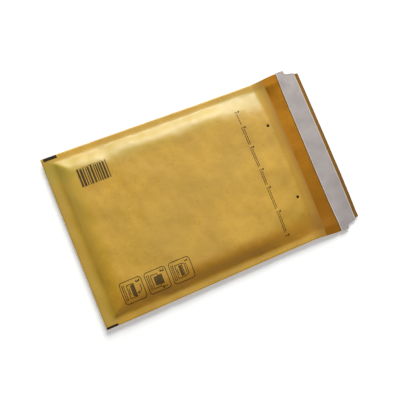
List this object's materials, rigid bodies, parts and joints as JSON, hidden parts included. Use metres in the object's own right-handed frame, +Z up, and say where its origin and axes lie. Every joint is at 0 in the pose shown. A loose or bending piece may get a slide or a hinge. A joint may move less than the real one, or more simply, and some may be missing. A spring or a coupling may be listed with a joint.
{
  "type": "padded envelope",
  "caption": "Padded kraft envelope lying flat and empty, with a bubble film lining, sealed edges, an open mouth and a flap with a peel-off closing strip.",
  "frame": {"origin": "centre of the bounding box in X and Y, on the table that the envelope lies on", "axes": "+X along the envelope from the sealed end to the flap, +Y across it, +Z up out of the front sheet"},
  "size_m": [0.318, 0.2032, 0.014],
  "materials": {
    "kraft_paper": "satin machine-glazed kraft",
    "bubble_film": "clear polyethylene film",
    "hot_melt": "tacky, pale amber",
    "liner_paper": "silicone-coated, greyish"
  },
  "bodies": {
    "root": {"front_sheet": "kraft_paper", "back_sheet": "kraft_paper", "front_lining": "bubble_film", "back_lining": "bubble_film", "adhesive_strip": "hot_melt", "release_liner": "liner_paper"}
  },
  "joints": []
}
